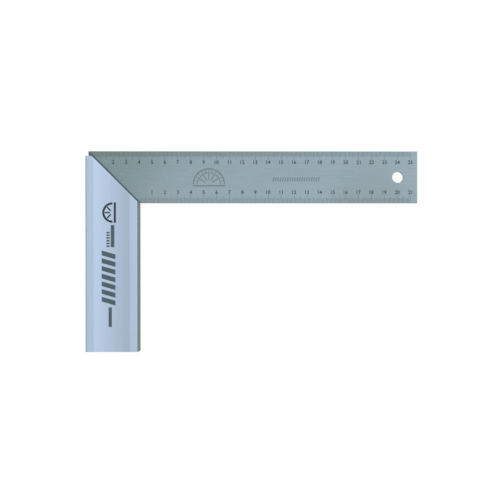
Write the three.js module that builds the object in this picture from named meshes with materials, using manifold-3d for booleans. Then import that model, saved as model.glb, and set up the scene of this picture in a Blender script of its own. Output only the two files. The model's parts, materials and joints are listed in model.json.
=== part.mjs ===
// Joiner's try and mitre square: an aluminium stock with a steel blade held in its mitred end.
// Millimetres. The square lies flat, +Z up. The origin is the centre of the bounding box's base:
// the blade runs along +X from the outer corner, and the stock runs along -Y from the same corner.
import * as THREE from "three";
import { mergeVertices } from "three/addons/utils/BufferGeometryUtils.js";
import Module from "manifold-3d";

const wasm = await Module();
wasm.setup();

// Blade
const BLADE_LENGTH = 254.5;
const BLADE_SETBACK = 1; // its buried end stands back this far from the stock's outer face
const BLADE_WIDTH = 40;
const BLADE_THICKNESS = 2;
const BLADE_EDGE_BREAK = 0.15;
const HANG_HOLE_RADIUS = 4.25;
const HANG_HOLE_FROM_END = 15.2;

// Stock
const STOCK_LENGTH = 150;
const STOCK_WIDTH = 40;
const STOCK_THICKNESS = 20;
const STOCK_CORNER_RADIUS = 1;
const TIP_SETBACK = 4.7; // the stock's blunt tip stands back this far from the blade's outer edge
const BAND_WIDTH = 6; // flat band along each long edge of both broad faces
const CHANNEL_DEPTH = 1.2; // shallow round channel between the bands

// Joint between them
const BOND_THICKNESS = 0.3;
const BOND_INSET = 0.5; // adhesive stops short of the slot's open edges
const SLOT_END_CLEARANCE = 0.3;
const PIN_RADIUS = 2;
const PIN_CLEARANCE = 0.05;
const PIN_CHAMFER = 0.3;
const PIN_START = 1.4; // height of the pins' back ends, just below the back channel's floor
const PIN_END = 15;
const PIN_HOLE_END = 15.4; // the holes are blind, so the front face stays whole
const PIN_EDGE_DISTANCE = 8; // from the tongue's outer and inner edges to the nearest pins
const PIN_SPACING = 13;

// Places that follow from them
const FREE_END_X = (BLADE_LENGTH + BLADE_SETBACK) / 2;
const OUTER_X = -FREE_END_X;
const OUTER_Y = (STOCK_LENGTH + TIP_SETBACK) / 2;
const INNER_X = OUTER_X + STOCK_WIDTH;
const BLADE_X = OUTER_X + BLADE_SETBACK;
const INNER_Y = OUTER_Y - BLADE_WIDTH;
const TIP_Y = OUTER_Y - TIP_SETBACK;
const MID_Z = STOCK_THICKNESS / 2;
const HANG_HOLE_X = FREE_END_X - HANG_HOLE_FROM_END;
const MID_BLADE_Y = OUTER_Y - BLADE_WIDTH / 2;
const PIN_X = OUTER_X + PIN_EDGE_DISTANCE;
const PIN_Y = INNER_Y + PIN_EDGE_DISTANCE;
const PIN_PLACES = [
  [PIN_X, PIN_Y],
  [PIN_X, PIN_Y + PIN_SPACING],
  [PIN_X + PIN_SPACING, PIN_Y],
];

const CURVE_SEGMENTS = 6;
const ROUND_SEGMENTS = 36;

const anodised = new THREE.MeshStandardMaterial({ color: 0xb0c4da, roughness: 0.42, metalness: 0.85 });
const groundSteel = new THREE.MeshStandardMaterial({ color: 0x93a5ac, roughness: 0.36, metalness: 1 });
const pinSteel = new THREE.MeshStandardMaterial({ color: 0x8c9296, roughness: 0.3, metalness: 1 });
const adhesive = new THREE.MeshStandardMaterial({ color: 0xc9c2a6, roughness: 0.6, metalness: 0 });

// A closed three.js geometry as a manifold-3d solid.
function solid(geometry) {
  const bare = geometry.clone();
  bare.deleteAttribute("normal");
  bare.deleteAttribute("uv");
  const merged = mergeVertices(bare, 1e-4);
  return new wasm.Manifold(
    new wasm.Mesh({
      numProp: 3,
      vertProperties: merged.attributes.position.array,
      triVerts: new Uint32Array(merged.index.array),
    }),
  );
}

// A manifold-3d solid as a three.js geometry.
function geometryOf(body) {
  const mesh = body.getMesh();
  const geometry = new THREE.BufferGeometry();
  geometry.setAttribute("position", new THREE.BufferAttribute(mesh.vertProperties, mesh.numProp));
  geometry.setIndex(new THREE.BufferAttribute(mesh.triVerts, 1));
  geometry.computeVertexNormals();
  return geometry;
}

// A plan outline, given as corners in X and Y, extruded from one height to another.
function prism(corners, bottom, top) {
  const outline = new THREE.Shape(corners.map(([x, y]) => new THREE.Vector2(x, y)));
  const geometry = new THREE.ExtrudeGeometry(outline, { depth: top - bottom, bevelEnabled: false });
  return geometry.translate(0, 0, bottom);
}

// An upright round bar with its axis at x, y.
function upright(radius, bottom, top, x, y) {
  const bar = new THREE.CylinderGeometry(radius, radius, top - bottom, ROUND_SEGMENTS);
  return bar.rotateX(Math.PI / 2).translate(x, y, (top + bottom) / 2);
}

// The three pin holes, from one height to another.
function pinHoles(bottom, top) {
  return PIN_PLACES.map(([x, y]) => solid(upright(PIN_RADIUS + PIN_CLEARANCE, bottom, top, x, y)));
}

// The extrusion's cross-section, in X and height: flat bands, rounded edges and a channel on both faces.
function stockSection() {
  const r = STOCK_CORNER_RADIUS;
  const halfChord = STOCK_WIDTH / 2 - BAND_WIDTH;
  const arcRadius = (halfChord ** 2 + CHANNEL_DEPTH ** 2) / (2 * CHANNEL_DEPTH);
  const arcCentre = arcRadius - CHANNEL_DEPTH;
  const halfAngle = Math.asin(halfChord / arcRadius);
  const middle = OUTER_X + STOCK_WIDTH / 2;
  const down = -Math.PI / 2;
  const up = Math.PI / 2;
  const section = new THREE.Shape();
  section.moveTo(OUTER_X + r, 0);
  section.absarc(middle, -arcCentre, arcRadius, up + halfAngle, up - halfAngle, true);
  section.absarc(INNER_X - r, r, r, down, 0, false);
  section.absarc(INNER_X - r, STOCK_THICKNESS - r, r, 0, up, false);
  section.absarc(middle, STOCK_THICKNESS + arcCentre, arcRadius, down + halfAngle, down - halfAngle, true);
  section.absarc(OUTER_X + r, STOCK_THICKNESS - r, r, up, Math.PI, false);
  section.absarc(OUTER_X + r, r, r, Math.PI, 1.5 * Math.PI, false);
  return section;
}

function makeStock() {
  const bar = new THREE.ExtrudeGeometry(stockSection(), {
    depth: STOCK_LENGTH,
    bevelEnabled: false,
    curveSegments: CURVE_SEGMENTS,
  });
  bar.rotateX(Math.PI / 2).translate(0, TIP_Y, 0);
  const outside = 1; // how far each cutter runs past what it cuts
  const mitre = prism(
    [
      [OUTER_X + TIP_SETBACK - outside, TIP_Y + outside],
      [INNER_X + outside, INNER_Y - outside],
      [INNER_X + outside, TIP_Y + outside],
    ],
    -outside,
    STOCK_THICKNESS + outside,
  );
  const slotHalf = BLADE_THICKNESS / 2 + BOND_THICKNESS;
  const slot = prism(
    [
      [OUTER_X - outside, INNER_Y - SLOT_END_CLEARANCE],
      [INNER_X + outside, INNER_Y - SLOT_END_CLEARANCE],
      [INNER_X + outside, OUTER_Y],
      [OUTER_X - outside, OUTER_Y],
    ],
    MID_Z - slotHalf,
    MID_Z + slotHalf,
  );
  let body = solid(bar).subtract(solid(mitre)).subtract(solid(slot));
  for (const hole of pinHoles(-outside, PIN_HOLE_END)) body = body.subtract(hole);
  return geometryOf(body);
}

function makeBlade() {
  const b = BLADE_EDGE_BREAK;
  const outline = new THREE.Shape();
  outline.moveTo(BLADE_X + b, INNER_Y + b);
  outline.lineTo(FREE_END_X - b, INNER_Y + b);
  outline.lineTo(FREE_END_X - b, OUTER_Y - b);
  outline.lineTo(BLADE_X + b, OUTER_Y - b);
  const strip = new THREE.ExtrudeGeometry(outline, {
    depth: BLADE_THICKNESS - 2 * b,
    bevelEnabled: true,
    bevelThickness: b,
    bevelSize: b,
    bevelSegments: 1,
  });
  strip.translate(0, 0, MID_Z - BLADE_THICKNESS / 2 + b);
  const hangHole = upright(HANG_HOLE_RADIUS, 0, STOCK_THICKNESS, HANG_HOLE_X, MID_BLADE_Y);
  let body = solid(strip).subtract(solid(hangHole));
  for (const hole of pinHoles(0, STOCK_THICKNESS)) body = body.subtract(hole);
  return geometryOf(body);
}

// One layer of adhesive: the shape of the tongue inside the slot, with the pins passing through it.
function makeBondFilm(bottom) {
  const alongMitre = BOND_INSET * Math.SQRT2;
  const top = bottom + BOND_THICKNESS;
  const outline = prism(
    [
      [BLADE_X + BOND_INSET, INNER_Y],
      [INNER_X - alongMitre, INNER_Y],
      [OUTER_X + TIP_SETBACK, TIP_Y - alongMitre],
      [BLADE_X + BOND_INSET, TIP_Y - alongMitre],
    ],
    bottom,
    top,
  );
  let body = solid(outline);
  for (const hole of pinHoles(0, STOCK_THICKNESS)) body = body.subtract(hole);
  return geometryOf(body);
}

function makePin() {
  const r = PIN_RADIUS;
  const c = PIN_CHAMFER;
  const profile = [
    [0, PIN_START],
    [r - c, PIN_START],
    [r, PIN_START + c],
    [r, PIN_END - c],
    [r - c, PIN_END],
    [0, PIN_END],
  ];
  const points = profile.map(([x, y]) => new THREE.Vector2(x, y));
  return new THREE.LatheGeometry(points, ROUND_SEGMENTS).rotateX(Math.PI / 2);
}

function named(name, geometry, material) {
  const mesh = new THREE.Mesh(geometry, material);
  mesh.name = name;
  return mesh;
}

const square = new THREE.Group();
square.add(named("stock", makeStock(), anodised));
square.add(named("blade", makeBlade(), groundSteel));
square.add(named("bond_film_front", makeBondFilm(MID_Z + BLADE_THICKNESS / 2), adhesive));
square.add(named("bond_film_back", makeBondFilm(MID_Z - BLADE_THICKNESS / 2 - BOND_THICKNESS), adhesive));
PIN_PLACES.forEach(([x, y], i) => {
  const pin = named(`lock_pin_${i + 1}`, makePin(), pinSteel);
  pin.position.set(x, y, 0);
  square.add(pin);
});

export default square;
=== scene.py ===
"""A joiner's try and mitre square, lying flat on a light table and seen from straight above."""

import json
import math

import bmesh
import bpy
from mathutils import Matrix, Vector


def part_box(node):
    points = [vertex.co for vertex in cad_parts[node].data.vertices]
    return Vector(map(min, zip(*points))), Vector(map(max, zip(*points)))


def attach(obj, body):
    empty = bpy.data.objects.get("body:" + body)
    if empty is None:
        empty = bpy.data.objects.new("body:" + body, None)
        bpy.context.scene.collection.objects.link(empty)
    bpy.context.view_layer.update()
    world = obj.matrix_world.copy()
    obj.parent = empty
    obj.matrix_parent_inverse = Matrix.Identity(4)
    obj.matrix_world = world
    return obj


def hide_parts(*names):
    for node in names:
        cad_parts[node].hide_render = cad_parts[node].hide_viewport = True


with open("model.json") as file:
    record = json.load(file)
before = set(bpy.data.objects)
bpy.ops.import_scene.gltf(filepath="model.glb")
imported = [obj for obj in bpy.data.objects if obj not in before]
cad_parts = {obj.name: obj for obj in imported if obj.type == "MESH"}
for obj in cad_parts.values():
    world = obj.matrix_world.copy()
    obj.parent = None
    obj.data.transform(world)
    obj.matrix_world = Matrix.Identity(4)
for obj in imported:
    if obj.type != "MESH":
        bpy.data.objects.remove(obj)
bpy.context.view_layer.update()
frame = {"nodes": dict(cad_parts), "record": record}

MM = 0.001
STOCK_LOW, STOCK_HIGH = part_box("stock")
BLADE_LOW, BLADE_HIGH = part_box("blade")
PINS = sorted(n for n in frame["nodes"] if n.startswith("lock_pin"))
FILMS = sorted(n for n in frame["nodes"] if n.startswith("bond_film"))
HANGING_HOLE = next(m["pos_m"] for m in frame["record"]["mounts"] if m["name"] == "hanging_hole")

# The stock's section and joint
MIDDLE_X = (STOCK_LOW.x + STOCK_HIGH.x) / 2
CORNER_RADIUS = 1.0 * MM
CHANNEL_DEPTH = 1.2 * MM
BAND_WIDTH = 6.0 * MM
HALF_CHORD = MIDDLE_X - STOCK_LOW.x - BAND_WIDTH
CHANNEL_RADIUS = (HALF_CHORD**2 + CHANNEL_DEPTH**2) / (2 * CHANNEL_DEPTH)
SLOT_GAP = 0.3 * MM
PIN_HOLE_GAP = 0.05 * MM
PIN_HOLE_END = 15.4 * MM
STOCK_EDGE_BREAK = 0.3 * MM
MITRE = (math.sqrt(0.5), math.sqrt(0.5), 0.0)
MITRE_AT = (STOCK_HIGH.x + BLADE_LOW.y) * math.sqrt(0.5)

# The blade
HANGING_HOLE_RADIUS = 4.25 * MM
BLADE_EDGE_BREAK = 0.12 * MM

# Mesh detail
CUT_PAST = 2 * MM  # how far a cutter runs past what it cuts
CORNER_STEPS = 8
CHANNEL_STEPS = 48
PIN_HOLE_SIDES = 96
HANGING_HOLE_SIDES = 128
BREAK_SEGMENTS = 2
BREAK_FROM = math.radians(32)  # only edges sharper than this are broken
SHARP_FROM = math.radians(50)  # edges sharper than this stay sharp in the shading

# The etched scales, measured inwards from the blade's long edges
SCALE_ZERO = STOCK_LOW.x
SCALE_MM = 250
TICK_WIDTH = 0.18 * MM
TICK_START = 0.2 * MM
TICKS = {10: 6.5 * MM, 5: 5.1 * MM, 1: 3.9 * MM}
DIGIT_HEIGHT = 2.9 * MM
DIGIT_WEIGHT = 0.022
DIGIT_GAP = 0.45 * MM
MARK_PROUD = 0.02 * MM
MARK_DEPTH = 0.05 * MM

# Faint etching on the blade, placed from its buried end and from its outer edge
BLADE_SYMBOL_PLACE = (93 * MM, 25.5 * MM)
BLADE_SYMBOL = {"radius": 12.5 * MM, "line": 1.0 * MM, "step": 30, "divided": True}
HATCH_PLACE = (142.5 * MM, 23.2 * MM)
HATCH_COUNT = 20
HATCH_PITCH = 1.85 * MM
HATCH_REACH = (1.0 * MM, 3.1 * MM)
HATCH_WIDTH = 0.85 * MM

# Print on the stock, placed from its outer face and from the blade's outer edge
STOCK_SYMBOL_PLACE = (20.6 * MM, 48.0 * MM)
STOCK_SYMBOL = {"radius": 7.8 * MM, "line": 1.6 * MM, "step": 45, "divided": False}
PRINT_BLOCK = (19.2 * MM, 74.5 * MM, 22.0 * MM, 57.5 * MM)
PRINT_TAIL = (17.5 * MM, 135.5 * MM, 20.0 * MM, 120.5 * MM)
SMALL_BARS = {"count": 6, "from": 15.9 * MM, "to": 18.4 * MM, "first": 62.6 * MM, "pitch": 2.1 * MM}
SMALL_BAR_THICK = 1.3 * MM
SLANTED_BARS = {"count": 7, "from": 12.3 * MM, "to": 22.8 * MM, "first": 77.0 * MM, "pitch": 5.9 * MM}
SLANTED_BAR_THICK = 3.7 * MM
SLANTED_BAR_RISE = 3.0 * MM
DRAPE_PITCH = 1.5 * MM  # the print is cut into strips this wide, so that it can follow the channel
DRAPE_CUTS = 10  # on each side of the stock's middle

# The camera, in the photograph's place above the square
CAMERA_PLACE = Vector((-7.5, -26.3, 735.0)) * MM
CAMERA_TILT = (-0.29, -0.44, -0.02)
CAMERA_SHIFT_UP = 0.08
LENS = 67.3
CLIP_START = 0.01

# The studio
FLOOR_RADIUS = 3.0
WALL_RADIUS = 2.5
STAGE_SIDES = 128
SWEEP_STEPS = 24
SOFTBOX_SIZE = 1.6
SOFTBOX_POWER = 1.5


# ---- mesh helpers ----


def link(name, bm, *materials):
    """Makes an object of that name from a bmesh, and frees the bmesh."""
    mesh = bpy.data.meshes.new(name)
    bmesh.ops.recalc_face_normals(bm, faces=bm.faces)
    bm.to_mesh(mesh)
    bm.free()
    for material in materials:
        mesh.materials.append(material)
    piece = bpy.data.objects.new(name, mesh)
    bpy.context.scene.collection.objects.link(piece)
    return piece


def apply_modifiers(piece):
    """Replaces the piece's mesh with what its modifiers make of it."""
    graph = bpy.context.evaluated_depsgraph_get()
    made = bpy.data.meshes.new_from_object(piece.evaluated_get(graph), depsgraph=graph)
    piece.modifiers.clear()
    piece.data = made


def cut_away(piece, cutters):
    """Subtracts the cutters from the piece, and deletes them."""
    for cutter in cutters:
        boolean = piece.modifiers.new("cut", "BOOLEAN")
        boolean.operation = "DIFFERENCE"
        boolean.solver = "EXACT"
        boolean.object = cutter
    apply_modifiers(piece)
    for cutter in cutters:
        bpy.data.objects.remove(cutter)


def finish_edges(piece, width):
    """Breaks the sharp edges, then shades the rounds smooth and the flats flat."""
    bevel = piece.modifiers.new("edge break", "BEVEL")
    bevel.width = width
    bevel.segments = BREAK_SEGMENTS
    bevel.limit_method = "ANGLE"
    bevel.angle_limit = BREAK_FROM
    apply_modifiers(piece)
    piece.data.shade_smooth()
    piece.data.set_sharp_from_angle(angle=SHARP_FROM)
    normals = piece.modifiers.new("flats", "WEIGHTED_NORMAL")
    normals.keep_sharp = True
    apply_modifiers(piece)


def block(low, high):
    """A box between two corners: a cutter, or the blade before it is cut."""
    bm = bmesh.new()
    bmesh.ops.create_cube(bm, size=1)
    for v in bm.verts:
        v.co = Vector(low[i] if v.co[i] < 0 else high[i] for i in range(3))
    return link("block", bm)


def rod(x, y, low, high, radius, sides):
    """An upright round bar, for cutting."""
    bm = bmesh.new()
    bmesh.ops.create_cone(
        bm, cap_ends=True, segments=sides, radius1=radius, radius2=radius, depth=high - low
    )
    bmesh.ops.translate(bm, verts=bm.verts, vec=(x, y, (low + high) / 2))
    return link("cutter", bm)


def pin_holes(low, high):
    """A cutter for the hole of each lock pin."""
    holes = []
    for pin in PINS:
        corner, far_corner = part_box(pin)
        centre = (corner + far_corner) / 2
        radius = (far_corner.x - corner.x) / 2 + PIN_HOLE_GAP
        holes.append(rod(centre.x, centre.y, low, high, radius, PIN_HOLE_SIDES))
    return holes


# ---- the stock ----


def arc(x, z, radius, start, end, steps):
    """Points along an arc in the section's plane, from one angle in degrees to another."""
    turns = [math.radians(start + (end - start) * i / steps) for i in range(steps + 1)]
    return [(x + radius * math.cos(t), z + radius * math.sin(t)) for t in turns]


def stock_section():
    """The extrusion's outline in X and Z: rounded edges, flat bands, a channel in both broad faces."""
    r = CORNER_RADIUS
    left, right = STOCK_LOW.x + r, STOCK_HIGH.x - r
    floor, roof = STOCK_LOW.z, STOCK_HIGH.z
    half = math.degrees(math.asin(HALF_CHORD / CHANNEL_RADIUS))
    reach = CHANNEL_RADIUS - CHANNEL_DEPTH
    return (
        arc(left, floor + r, r, 180, 270, CORNER_STEPS)
        + arc(MIDDLE_X, floor - reach, CHANNEL_RADIUS, 90 + half, 90 - half, CHANNEL_STEPS)
        + arc(right, floor + r, r, 270, 360, CORNER_STEPS)
        + arc(right, roof - r, r, 0, 90, CORNER_STEPS)
        + arc(MIDDLE_X, roof + reach, CHANNEL_RADIUS, 270 + half, 270 - half, CHANNEL_STEPS)
        + arc(left, roof - r, r, 90, 180, CORNER_STEPS)
    )


def channel_dip(x):
    """How far below the flat bands the front face lies at this x."""
    across = x - MIDDLE_X
    if abs(across) >= HALF_CHORD:
        return 0.0
    return math.sqrt(CHANNEL_RADIUS**2 - across**2) - (CHANNEL_RADIUS - CHANNEL_DEPTH)


def make_stock(material):
    """The extrusion, mitred at the inner corner, slotted for the blade and drilled from the back."""
    bm = bmesh.new()
    end = bm.faces.new([bm.verts.new((x, STOCK_LOW.y, z)) for x, z in stock_section()])
    pulled = bmesh.ops.extrude_face_region(bm, geom=[end])
    moved = [v for v in pulled["geom"] if isinstance(v, bmesh.types.BMVert)]
    bmesh.ops.translate(bm, verts=moved, vec=(0, STOCK_HIGH.y - STOCK_LOW.y, 0))
    mitre = bmesh.ops.bisect_plane(
        bm,
        geom=bm.verts[:] + bm.edges[:] + bm.faces[:],
        plane_co=(STOCK_HIGH.x, BLADE_LOW.y, 0),
        plane_no=(1, 1, 0),
        clear_outer=True,
    )
    rim = [e for e in mitre["geom_cut"] if isinstance(e, bmesh.types.BMEdge)]
    bmesh.ops.edgeloop_fill(bm, edges=rim)
    stock = link("stock_body", bm, material)
    slot = block(
        (STOCK_LOW.x - CUT_PAST, BLADE_LOW.y - SLOT_GAP, BLADE_LOW.z - SLOT_GAP),
        (STOCK_HIGH.x + CUT_PAST, STOCK_HIGH.y + CUT_PAST, BLADE_HIGH.z + SLOT_GAP),
    )
    cut_away(stock, [slot] + pin_holes(STOCK_LOW.z - CUT_PAST, PIN_HOLE_END))
    finish_edges(stock, STOCK_EDGE_BREAK)
    return stock


# ---- the blade ----


def make_blade(material):
    """The steel strip with its hanging hole, and the pins' holes in its tongue."""
    blade = block(BLADE_LOW, BLADE_HIGH)
    blade.name = "blade_strip"
    low, high = BLADE_LOW.z - CUT_PAST, BLADE_HIGH.z + CUT_PAST
    x, y = HANGING_HOLE[:2]
    hole = rod(x, y, low, high, HANGING_HOLE_RADIUS, HANGING_HOLE_SIDES)
    cut_away(blade, [hole] + pin_holes(low, high))
    blade.data.materials.clear()
    blade.data.materials.append(material)
    finish_edges(blade, BLADE_EDGE_BREAK)
    return blade


# ---- marks on the metal ----


def add_prism(bm, outline, surface=0.0):
    """Adds a thin closed slab with that plan outline, bedded in the surface and a little proud of it."""
    corners = [bm.verts.new((x, y, surface + MARK_PROUD)) for x, y in outline]
    face = bm.faces.new(corners)
    pulled = bmesh.ops.extrude_face_region(bm, geom=[face])
    moved = [v for v in pulled["geom"] if isinstance(v, bmesh.types.BMVert)]
    bmesh.ops.translate(bm, verts=moved, vec=(0, 0, -MARK_PROUD - MARK_DEPTH))


def box_outline(x_low, y_low, x_high, y_high):
    """The plan corners of an upright rectangle."""
    return [(x_low, y_low), (x_high, y_low), (x_high, y_high), (x_low, y_high)]


def bar_outline(start, end, width):
    """The plan corners of a straight bar between two points."""
    start, end = Vector(start), Vector(end)
    along = (end - start).normalized()
    side = Vector((-along.y, along.x)) * width / 2
    return [tuple(p) for p in (start - side, end - side, end + side, start + side)]


def arc_outline(radius, width, start, end, steps=32):
    """The plan corners of a curved bar round the origin, from one angle in degrees to another."""
    outer = arc(0, 0, radius, start, end, steps)
    inner = arc(0, 0, radius - width, end, start, steps)
    return outer + inner


def protractor_outlines(radius, line, step, divided):
    """A generic protractor: a base line, a half circle, and spokes every step degrees.
    A divided one has a second, inner half circle with short lines between the two."""
    inner, hub = radius * 0.74, radius * 0.25
    thin, thinnest = line * 0.7, line * 0.5
    gap = line * 0.6
    clear = gap / 3
    rim = radius - line
    outlines = [box_outline(-radius, -line - gap, radius, -gap), arc_outline(radius, line, 0, 180)]
    if divided:
        outlines.append(arc_outline(inner, thin, 0, 180))
        for turn in range(step // 2, 180, step // 2):
            outlines.append(spoke_outline(turn, inner + clear, rim - clear, thinnest))
        rim = inner - thin
    for turn in range(step, 180, step):
        outlines.append(spoke_outline(turn, hub, rim - clear, thin))
    return outlines


def spoke_outline(turn, start, end, width):
    """The plan corners of a bar that points away from the origin at that angle in degrees."""
    way = Vector((math.cos(math.radians(turn)), math.sin(math.radians(turn))))
    return bar_outline(way * start, way * end, width)


def placed(outline, x, y, turn=0):
    """An outline turned by that many degrees about the origin and moved to x, y."""
    cosine, sine = math.cos(math.radians(turn)), math.sin(math.radians(turn))
    return [(x + u * cosine - v * sine, y + u * sine + v * cosine) for u, v in outline]


def add_ticks(bm, zero_x, edge_y, inwards):
    """Adds the millimetre, half-centimetre and centimetre lines along one edge of the blade."""
    last = round((SCALE_ZERO + SCALE_MM * MM - zero_x) / MM)
    for n in range(1, last + 1):
        length = next(TICKS[step] for step in TICKS if n % step == 0)
        x = zero_x + n * MM
        if x < BLADE_LOW.x + TICK_WIDTH:
            continue
        low, high = sorted((edge_y + inwards * TICK_START, edge_y + inwards * length))
        half = TICK_WIDTH / 2
        add_prism(bm, box_outline(x - half, low, x + half, high), BLADE_HIGH.z)


def add_numbers(bm, zero_x, middle_y, first):
    """Adds an upright number at each centimetre from the first, all centred on middle_y."""
    last = round((SCALE_ZERO + SCALE_MM * MM - zero_x) / (10 * MM))
    for n in range(first, last + 1):
        curve = bpy.data.curves.new("number", "FONT")
        curve.body = str(n)
        curve.extrude = 0.5
        curve.offset = DIGIT_WEIGHT
        label = bpy.data.objects.new("number", curve)
        bpy.context.scene.collection.objects.link(label)
        graph = bpy.context.evaluated_depsgraph_get()
        glyph = bpy.data.meshes.new_from_object(label.evaluated_get(graph))
        bpy.data.objects.remove(label)
        xs = [v.co.x for v in glyph.vertices]
        ys = [v.co.y for v in glyph.vertices]
        scale = DIGIT_HEIGHT / (max(ys) - min(ys))
        middle = ((max(xs) + min(xs)) / 2, (max(ys) + min(ys)) / 2)
        for v in glyph.vertices:
            height = MARK_PROUD if v.co.z > 0 else -MARK_DEPTH
            v.co.x = zero_x + n * 10 * MM + (v.co.x - middle[0]) * scale
            v.co.y = middle_y + (v.co.y - middle[1]) * scale
            v.co.z = BLADE_HIGH.z + height
        bm.from_mesh(glyph)
        bpy.data.meshes.remove(glyph)


def make_scales(material):
    """The outer scale counts from the stock's outer face, and the inner one from its inner face.
    The outer one has no number 1, because the mitre crosses its place."""
    bm = bmesh.new()
    digits_at = TICKS[10] + DIGIT_GAP + DIGIT_HEIGHT / 2
    add_ticks(bm, SCALE_ZERO, BLADE_HIGH.y, -1)
    add_numbers(bm, SCALE_ZERO, BLADE_HIGH.y - digits_at, 2)
    add_ticks(bm, STOCK_HIGH.x, BLADE_LOW.y, 1)
    add_numbers(bm, STOCK_HIGH.x, BLADE_LOW.y + digits_at, 1)
    bmesh.ops.remove_doubles(bm, verts=bm.verts, dist=0.001 * MM)
    return link("scale_marks", bm, material)


def make_blade_motifs(material):
    """Faint generic etching in the middle of the blade: a small protractor, and a row of hatching."""
    bm = bmesh.new()
    x, y = BLADE_LOW.x + BLADE_SYMBOL_PLACE[0], BLADE_HIGH.y - BLADE_SYMBOL_PLACE[1]
    for outline in protractor_outlines(**BLADE_SYMBOL):
        add_prism(bm, placed(outline, x, y), BLADE_HIGH.z)
    x, y = BLADE_LOW.x + HATCH_PLACE[0], BLADE_HIGH.y - HATCH_PLACE[1]
    for n in range(HATCH_COUNT):
        foot = Vector((x + n * HATCH_PITCH, y))
        add_prism(bm, bar_outline(foot, foot + Vector(HATCH_REACH), HATCH_WIDTH), BLADE_HIGH.z)
    return link("blade_motifs", bm, material)


def drape(bm):
    """Lays flat marks made at height zero on the stock's front face, so that they follow it."""
    for n in range(-DRAPE_CUTS, DRAPE_CUTS + 1):
        bmesh.ops.bisect_plane(
            bm,
            geom=bm.verts[:] + bm.edges[:] + bm.faces[:],
            plane_co=(MIDDLE_X + n * DRAPE_PITCH, 0, 0),
            plane_no=(1, 0, 0),
        )
    for v in bm.verts:
        v.co.z += STOCK_HIGH.z - channel_dip(v.co.x)


def make_stock_symbol(material):
    """A generic protractor printed in the channel, turned to read along the stock."""
    bm = bmesh.new()
    x, y = STOCK_LOW.x + STOCK_SYMBOL_PLACE[0], BLADE_HIGH.y - STOCK_SYMBOL_PLACE[1]
    for outline in protractor_outlines(**STOCK_SYMBOL):
        add_prism(bm, placed(outline, x, y, 90))
    drape(bm)
    return link("stock_symbol", bm, material)


def make_stock_print(material):
    """A generic print below the symbol: a block with small bars beside it, slanted bars, a tail."""
    bm = bmesh.new()
    for left, bottom, right, top in (PRINT_BLOCK, PRINT_TAIL):
        low, high = BLADE_HIGH.y - bottom, BLADE_HIGH.y - top
        add_prism(bm, box_outline(STOCK_LOW.x + left, low, STOCK_LOW.x + right, high))
    for left, right, y in bar_places(SMALL_BARS):
        add_prism(bm, box_outline(left, y - SMALL_BAR_THICK, right, y))
    for left, right, y in bar_places(SLANTED_BARS):
        foot, slope = y - SLANTED_BAR_THICK, SLANTED_BAR_RISE
        add_prism(bm, [(left, foot), (right, foot - slope), (right, y - slope), (left, y)])
    drape(bm)
    return link("stock_print", bm, material)


def bar_places(bars):
    """The left end, right end and top of each of a row of printed bars."""
    left, right = STOCK_LOW.x + bars["from"], STOCK_LOW.x + bars["to"]
    for n in range(bars["count"]):
        yield left, right, BLADE_HIGH.y - bars["first"] - bars["pitch"] * n


# ---- materials ----


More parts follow.
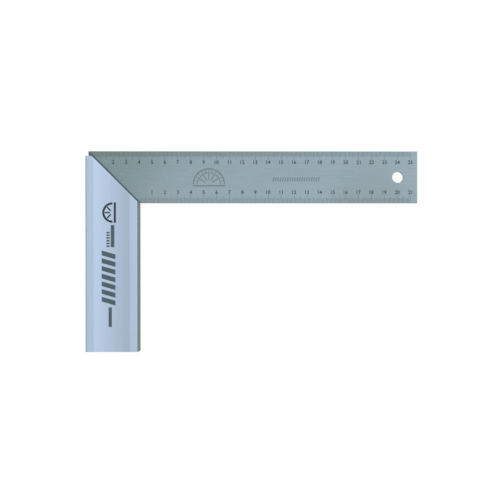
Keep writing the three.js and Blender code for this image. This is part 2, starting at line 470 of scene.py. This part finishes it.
class Tree:
    """A material's node tree, with short ways to add and join nodes."""

    def __init__(self, name):
        self.material = bpy.data.materials.new(name)
        self.material.use_nodes = True
        self.nodes = self.material.node_tree.nodes
        self.links = self.material.node_tree.links
        self.shader = self.nodes["Principled BSDF"]
        self.place = self.add("ShaderNodeTexCoord").outputs["Object"]
        self.normal = self.add("ShaderNodeNewGeometry").outputs["Normal"]

    def add(self, kind, inputs=(), **settings):
        """Adds a node. inputs maps socket names or numbers to values or to other nodes' outputs."""
        node = self.nodes.new(kind)
        for key, value in settings.items():
            setattr(node, key, value)
        for key, value in dict(inputs).items():
            self.feed(node.inputs[key], value)
        return node

    def feed(self, socket, value):
        """Sets a socket to a value, or links an output to it."""
        if isinstance(value, bpy.types.NodeSocket):
            self.links.new(value, socket)
        else:
            socket.default_value = value

    def streaks(self, size, detail=3.0, offset=0.0):
        """Noise in the row's frame whose grains are size millimetres long in X, Y and Z."""
        scale = tuple(1 / (s * MM) for s in size)
        shift = (offset, offset, offset)
        inputs = {"Vector": self.place, "Location": shift, "Scale": scale}
        stretched = self.add("ShaderNodeMapping", inputs).outputs["Vector"]
        inputs = {"Vector": stretched, "Scale": 1.0, "Detail": detail, "Roughness": 0.6}
        return self.add("ShaderNodeTexNoise", inputs).outputs["Fac"]

    def dot(self, vector, direction):
        """A vector's dot product with a direction."""
        node = self.add("ShaderNodeVectorMath", {0: vector, 1: direction}, operation="DOT_PRODUCT")
        return node.outputs["Value"]

    def ramp(self, value, start, end, low=0.0, high=1.0):
        """Turns start to end of a value smoothly into low to high."""
        inputs = {"Value": value, "From Min": start, "From Max": end, "To Min": low, "To Max": high}
        ramp = self.add("ShaderNodeMapRange", inputs, interpolation_type="SMOOTHSTEP")
        return ramp.outputs["Result"]

    def spread(self, noise, low, high):
        """Maps the middle of a noise's range onto low to high."""
        inputs = {"Value": noise, "From Min": 0.3, "From Max": 0.7, "To Min": low, "To Max": high}
        return self.add("ShaderNodeMapRange", inputs).outputs["Result"]

    def math(self, operation, first, second=0.0):
        """Joins two numbers by that operation."""
        node = self.add("ShaderNodeMath", {0: first, 1: second}, operation=operation)
        return node.outputs[0]

    def blend(self, share, first, second):
        """Mixes two colours."""
        mix = self.add("ShaderNodeMix", data_type="RGBA")
        self.feed(mix.inputs["Factor"], share)
        self.feed(next(i for i in mix.inputs if i.name == "A" and i.type == "RGBA"), first)
        self.feed(next(i for i in mix.inputs if i.name == "B" and i.type == "RGBA"), second)
        return next(o for o in mix.outputs if o.type == "RGBA")

    def bump(self, height, strength, depth, below=None):
        """A bump of that depth in metres, laid over an earlier one."""
        inputs = {"Height": height, "Strength": strength, "Distance": depth}
        if below is not None:
            inputs["Normal"] = below
        return self.add("ShaderNodeBump", inputs).outputs["Normal"]

    def finish(self, colour, roughness, metallic, normal=None):
        """Joins what was made to the shader, and gives the material."""
        self.feed(self.shader.inputs["Base Color"], colour)
        self.feed(self.shader.inputs["Roughness"], roughness)
        self.shader.inputs["Metallic"].default_value = metallic
        if normal is not None:
            self.feed(self.shader.inputs["Normal"], normal)
        return self.material


def rgb(red, green, blue):
    """An opaque colour, in linear light."""
    return (red, green, blue, 1.0)


def anodised_aluminium():
    """Satin natural anodising over an extrusion, with faint die lines along it, and sawn ends with saw
    marks, painted darker as shade.
    """
    tree = Tree("anodised_aluminium")
    lines = tree.streaks((0.35, 90, 0.35))
    die_lines = tree.streaks((1.6, 400, 1.6), 2.0, 3.0)
    haze = tree.streaks((14, 45, 14), 2.0)
    grit = tree.streaks((0.12, 0.12, 0.12), 2.0)
    saw_marks = tree.streaks((12, 12, 0.3), 2.0)
    base = tree.blend(tree.spread(lines, 0, 1), rgb(0.462, 0.57, 0.748), rgb(0.52, 0.627, 0.815))
    lined = tree.blend(tree.spread(die_lines, 0, 0.6), base, rgb(0.436, 0.543, 0.697))
    hazed = tree.blend(tree.spread(haze, 0, 0.5), lined, rgb(0.475, 0.582, 0.728))
    scratches = tree.ramp(tree.streaks((0.14, 7, 0.14), 1.0, 11.0), 0.66, 0.74, 0.0, 0.5)
    scratched = tree.blend(scratches, hazed, rgb(0.6, 0.7, 0.82))

    off_centre = tree.math("SUBTRACT", tree.dot(tree.place, (1, 0, 0)), MIDDLE_X)
    from_middle = tree.math("ABSOLUTE", off_centre)
    half_width = STOCK_HIGH.x - MIDDLE_X
    at_side = tree.ramp(from_middle, half_width - 1.1 * MM, half_width - 0.5 * MM)
    level = tree.math("ABSOLUTE", tree.dot(tree.normal, (0, 0, 1)))
    rounding = tree.math("MULTIPLY", at_side, tree.ramp(level, 0.15, 0.6))
    worn = tree.math("MULTIPLY", rounding, tree.spread(haze, 0.1, 0.6))
    rubbed = tree.blend(worn, scratched, rgb(0.52, 0.6, 0.69))

    mitre_distance = tree.dot(tree.place, MITRE)
    at_arris = tree.ramp(mitre_distance, MITRE_AT - 1.2 * MM, MITRE_AT - 0.1 * MM)
    bright_arris = tree.math("MULTIPLY", at_arris, tree.spread(grit, 0.5, 0.8))
    edged = tree.blend(bright_arris, rubbed, rgb(0.54, 0.67, 0.79))
    end_face = tree.ramp(tree.math("ABSOLUTE", tree.dot(tree.normal, (0, 1, 0))), 0.85, 0.98)
    mitre_face = tree.ramp(tree.dot(tree.normal, MITRE), 0.85, 0.98)
    sawn = tree.math("MAXIMUM", end_face, mitre_face)
    # Sawn end and mitre faces: the saw marks and roughness are their finish, the darker tone is painted
    # shade.
    sawn_and_shaded_tone = tree.blend(tree.spread(saw_marks, 0, 1), rgb(0.3, 0.36, 0.41), rgb(0.4, 0.46, 0.51))
    colour = tree.blend(sawn, edged, sawn_and_shaded_tone)

    roughness = tree.math("ADD", tree.spread(lines, 0.38, 0.46), tree.math("MULTIPLY", sawn, 0.08))
    fine = tree.bump(lines, 0.35, 0.01 * MM)
    sawn_bump = tree.bump(tree.math("MULTIPLY", saw_marks, sawn), 0.5, 0.04 * MM, fine)
    return tree.finish(colour, roughness, 1.0, tree.bump(grit, 0.12, 0.006 * MM, sawn_bump))


def brushed_blade_steel():
    """Ground stainless strip, brushed along its length, with handling marks, painted shade spreading
    from the stock and a painted contact shadow along the joint.
    """
    tree = Tree("brushed_blade_steel")
    fine = tree.streaks((22, 0.09, 0.09))
    broad = tree.streaks((90, 1.1, 1.1), 2.0)
    haze = tree.streaks((30, 18, 18), 2.0, 7.0)
    patches = tree.streaks((5, 3, 3), 3.0)
    base = tree.blend(tree.spread(fine, 0, 1), rgb(0.267, 0.35, 0.408), rgb(0.329, 0.416, 0.483))
    streaked = tree.blend(tree.spread(broad, 0, 0.8), base, rgb(0.275, 0.358, 0.405))
    hazed = tree.blend(tree.spread(haze, 0, 0.9), streaked, rgb(0.31, 0.382, 0.427))
    along, across = tree.dot(tree.place, (1, 0, 0)), tree.dot(tree.place, (0, 1, 0))
    towards_edge = tree.ramp(across, BLADE_LOW.y, BLADE_HIGH.y, 0.0, 0.35)
    darkened_steel = tree.blend(towards_edge, hazed, rgb(0.25, 0.325, 0.365))
    # Painted shade fades out over the blade from the stock's corner; the patch near the free end is
    # handling marks.
    by_stock = (BLADE_LOW.x, BLADE_HIGH.y, BLADE_HIGH.z)
    by_free_end = (BLADE_HIGH.x - 34 * MM, BLADE_LOW.y, BLADE_HIGH.z)
    for corner, near, far, strength, tone in (
        (by_stock, 25, 80, 0.85, rgb(0.215, 0.29, 0.31)),
        (by_free_end, 15, 48, 0.9, rgb(0.262, 0.325, 0.356)),
    ):
        away = tree.add("ShaderNodeVectorMath", {0: tree.place, 1: corner}, operation="DISTANCE")
        stock_shade_and_handling = tree.ramp(away.outputs["Value"], near * MM, far * MM, strength, 0.0)
        darkened_steel = tree.blend(stock_shade_and_handling, darkened_steel, tone)
    # Darker along the ticked strip inside the outer edge, more so towards the stock.
    outer_strip = tree.ramp(across, BLADE_HIGH.y - 5.5 * MM, BLADE_HIGH.y - 3.5 * MM)
    towards_stock = tree.ramp(along, BLADE_LOW.x, BLADE_HIGH.x, 0.45, 0.1)
    darker_outer_strip = tree.math("MULTIPLY", outer_strip, towards_stock)
    darkened_steel = tree.blend(darker_outer_strip, darkened_steel, rgb(0.2, 0.24, 0.235))

    scratches = tree.ramp(tree.streaks((9, 0.14, 0.14), 1.0, 11.0), 0.63, 0.72, 0.0, 0.5)
    scratched = tree.blend(scratches, darkened_steel, rgb(0.42, 0.5, 0.55))
    level = tree.math("ABSOLUTE", tree.dot(tree.normal, (0, 0, 1)))
    not_side, not_face = tree.ramp(level, 0.1, 0.35), tree.ramp(level, 0.9, 0.98, 1.0, 0.0)
    broken_edge = tree.math("MULTIPLY", not_side, not_face)
    worn = tree.math("MULTIPLY", broken_edge, tree.spread(patches, 0.2, 0.9))
    rubbed = tree.blend(worn, scratched, rgb(0.45, 0.52, 0.56))

    mitre_distance = tree.dot(tree.place, MITRE)
    ragged = tree.math("ADD", mitre_distance, tree.spread(patches, -0.15 * MM, 0.15 * MM))
    # Painted contact shadow on the blade just past the mitre, a little rougher there too.
    joint_shadow = tree.ramp(ragged, MITRE_AT + 0.8 * MM, MITRE_AT + 1.5 * MM, 0.95, 0.0)
    colour = tree.blend(joint_shadow, rubbed, rgb(0.135, 0.18, 0.215))
    roughness = tree.math("ADD", tree.spread(broad, 0.28, 0.38), tree.math("MULTIPLY", joint_shadow, 0.3))
    coarse = tree.bump(broad, 0.15, 0.01 * MM)
    return tree.finish(colour, roughness, 1.0, tree.bump(fine, 0.3, 0.008 * MM, coarse))


def scale_etch():
    """The dark, dull floor of the etched lines and figures."""
    tree = Tree("scale_etch")
    patches = tree.streaks((0.6, 0.6, 0.6))
    tone = tree.blend(tree.spread(patches, 0, 1), rgb(0.034, 0.046, 0.044), rgb(0.066, 0.086, 0.082))
    return tree.finish(tone, tree.spread(patches, 0.5, 0.7), 0.3)


def faint_etch():
    """A light frosting of the steel, only a little darker than the metal round it."""
    tree = Tree("faint_etch")
    patches = tree.streaks((0.5, 0.5, 0.5))
    tone = tree.blend(tree.spread(patches, 0, 1), rgb(0.15, 0.19, 0.2), rgb(0.23, 0.29, 0.31))
    return tree.finish(tone, tree.spread(patches, 0.42, 0.55), 0.9)


def screen_ink(name, dark, light):
    """Thin screen ink between two tones, worn a little unevenly."""
    tree = Tree(name)
    patches = tree.streaks((0.7, 1.4, 0.7))
    tone = tree.blend(tree.spread(patches, 0, 1), dark, light)
    return tree.finish(tone, tree.spread(patches, 0.42, 0.58), 0.2)


def pin_steel():
    """Hardened dowel pins with faintly turned ends."""
    tree = Tree("pin_steel")
    turned = tree.streaks((0.15, 0.15, 3))
    tone = tree.blend(tree.spread(turned, 0, 1), rgb(0.38, 0.42, 0.46), rgb(0.48, 0.52, 0.56))
    return tree.finish(tone, tree.spread(turned, 0.22, 0.34), 1.0)


def adhesive():
    """Cured two-part adhesive, slightly mottled."""
    tree = Tree("adhesive")
    mottle = tree.streaks((1.5, 1.5, 0.5))
    tone = tree.blend(tree.spread(mottle, 0, 1), rgb(0.5, 0.46, 0.36), rgb(0.62, 0.58, 0.46))
    return tree.finish(tone, tree.spread(mottle, 0.45, 0.6), 0.0)


def pale_floor():
    """The opal top of a light table: its own glow keeps it near white, so shadows on it are faint."""
    tree = Tree("pale_floor")
    fibre = tree.streaks((3, 3, 3))
    tone = tree.blend(tree.spread(fibre, 0, 1), rgb(0.07, 0.07, 0.07), rgb(0.08, 0.08, 0.08))
    tree.shader.inputs["Emission Color"].default_value = rgb(1.0, 1.0, 1.0)
    tree.shader.inputs["Emission Strength"].default_value = 0.95
    tree.shader.inputs["Specular IOR Level"].default_value = 0.1
    return tree.finish(tone, tree.spread(fibre, 0.85, 0.95), 0.0)


# ---- the room ----


def make_stage():
    """A round floor, and a wall that sweeps up from its rim to close the view behind the object.
    Neither shows in the metal, which mirrors only the sky and the softboxes."""
    glow = pale_floor()
    bm = bmesh.new()
    bmesh.ops.create_circle(bm, cap_ends=True, segments=STAGE_SIDES, radius=FLOOR_RADIUS)
    bmesh.ops.translate(bm, verts=bm.verts, vec=(0, 0, STOCK_LOW.z))
    floor = link("floor", bm, glow)
    floor.visible_glossy = False

    bm = bmesh.new()
    sweep = arc(FLOOR_RADIUS, STOCK_LOW.z + WALL_RADIUS, WALL_RADIUS, 270, 360, SWEEP_STEPS)
    profile = [bm.verts.new((x, 0, z)) for x, z in sweep]
    edges = [bm.edges.new(pair) for pair in zip(profile, profile[1:])]
    bmesh.ops.spin(
        bm,
        geom=profile + edges,
        cent=(0, 0, 0),
        axis=(0, 0, 1),
        angle=math.tau,
        steps=STAGE_SIDES,
        use_merge=True,
    )
    wall = link("backdrop", bm, glow)
    wall.visible_glossy = False
    wall.visible_diffuse = False
    wall.visible_shadow = False


def make_sky():
    """Soft light from all round: brighter and bluer to the right, and dimmer towards the horizon
    and below it. Far out to the right it is dim again, which shows up the stock's rounded edge."""
    world = bpy.data.worlds.new("studio")
    bpy.context.scene.world = world
    world.use_nodes = True
    nodes, links = world.node_tree.nodes, world.node_tree.links
    axes = nodes.new("ShaderNodeSeparateXYZ")
    links.new(nodes.new("ShaderNodeTexCoord").outputs["Generated"], axes.inputs[0])

    def ramp(axis, start, end, low, high):
        """Turns start to end along an axis into low to high."""
        node = nodes.new("ShaderNodeMapRange")
        links.new(axes.outputs[axis], node.inputs["Value"])
        limits = {"From Min": start, "From Max": end, "To Min": low, "To Max": high}
        for name, value in limits.items():
            node.inputs[name].default_value = value
        return node.outputs["Result"]

    def times(first, second):
        """Multiplies two numbers."""
        node = nodes.new("ShaderNodeMath")
        node.operation = "MULTIPLY"
        links.new(first, node.inputs[0])
        links.new(second, node.inputs[1])
        return node.outputs[0]

    def mix(share, first, second):
        """Mixes two colours, each given as a value or as a node's output."""
        node = nodes.new("ShaderNodeMix")
        node.data_type = "RGBA"
        links.new(share, node.inputs["Factor"])
        for name, colour in (("A", first), ("B", second)):
            socket = next(i for i in node.inputs if i.name == name and i.type == "RGBA")
            if isinstance(colour, bpy.types.NodeSocket):
                links.new(colour, socket)
            else:
                socket.default_value = colour
        return next(o for o in node.outputs if o.type == "RGBA")

    across = ramp("X", -0.6, 0.6, 0.635, 1.425)
    along = ramp("Y", -0.4, 0.4, 0.86, 1.14)
    far_right = ramp("X", 0.5, 0.85, 1.0, 0.5)
    horizon = ramp("Z", 0.0, 0.7, 0.48, 1.0)
    depths = ramp("Z", -0.9, -0.5, 0.53, 1.0)
    background = nodes["Background"]
    sideways = times(times(across, along), far_right)
    links.new(times(sideways, times(horizon, depths)), background.inputs["Strength"])
    warm, cool = rgb(1.0, 1.0, 0.93), rgb(0.98, 1.0, 1.05)
    overhead = mix(ramp("X", -0.6, 0.6, 0.0, 1.0), warm, cool)
    tint = mix(ramp("Z", -0.85, -0.3, 0.0, 1.0), rgb(0.99, 1.02, 0.67), overhead)
    links.new(tint, background.inputs["Color"])


def add_softbox(name, place):
    """A square area light that faces the middle of the object."""
    lamp = bpy.data.lights.new(name, "AREA")
    lamp.size = SOFTBOX_SIZE
    lamp.energy = SOFTBOX_POWER
    box = bpy.data.objects.new(name, lamp)
    box.location = place
    box.rotation_euler = (-Vector(place)).to_track_quat("-Z", "Y").to_euler()
    bpy.context.scene.collection.objects.link(box)


def make_camera():
    """The photograph's view."""
    data = bpy.data.cameras.new("camera")
    data.lens = LENS
    data.shift_y = CAMERA_SHIFT_UP
    data.clip_start = CLIP_START
    camera = bpy.data.objects.new("camera", data)
    camera.location = CAMERA_PLACE
    camera.rotation_euler = [math.radians(a) for a in CAMERA_TILT]
    bpy.context.scene.collection.objects.link(camera)
    bpy.context.scene.camera = camera


# ---- everything in place ----

bpy.context.scene.view_settings.view_transform = "Standard"
make_camera()
make_stage()
make_sky()
add_softbox("front_softbox", (-0.2, -1.6, 0.9))
add_softbox("back_softbox", (0.2, 1.6, 0.9))

stock = make_stock(anodised_aluminium())
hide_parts("stock")
blade = make_blade(brushed_blade_steel())
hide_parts("blade")
symbol_ink = screen_ink("symbol_ink", rgb(0.008, 0.014, 0.018), rgb(0.02, 0.03, 0.036))
print_ink = screen_ink("print_ink", rgb(0.055, 0.09, 0.11), rgb(0.085, 0.13, 0.155))
for piece, slot in (
    (stock, "anodised_aluminium"),
    (blade, "brushed_blade_steel"),
    (make_scales(scale_etch()), "scale_etch"),
    (make_blade_motifs(faint_etch()), "scale_etch"),
    (make_stock_symbol(symbol_ink), "stock_print"),
    (make_stock_print(print_ink), "stock_print"),
):
    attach(piece, "root")

for names, material in ((PINS, pin_steel()), (FILMS, adhesive())):
    for name in names:
        for holder in frame["nodes"][name].material_slots:
            holder.material = material
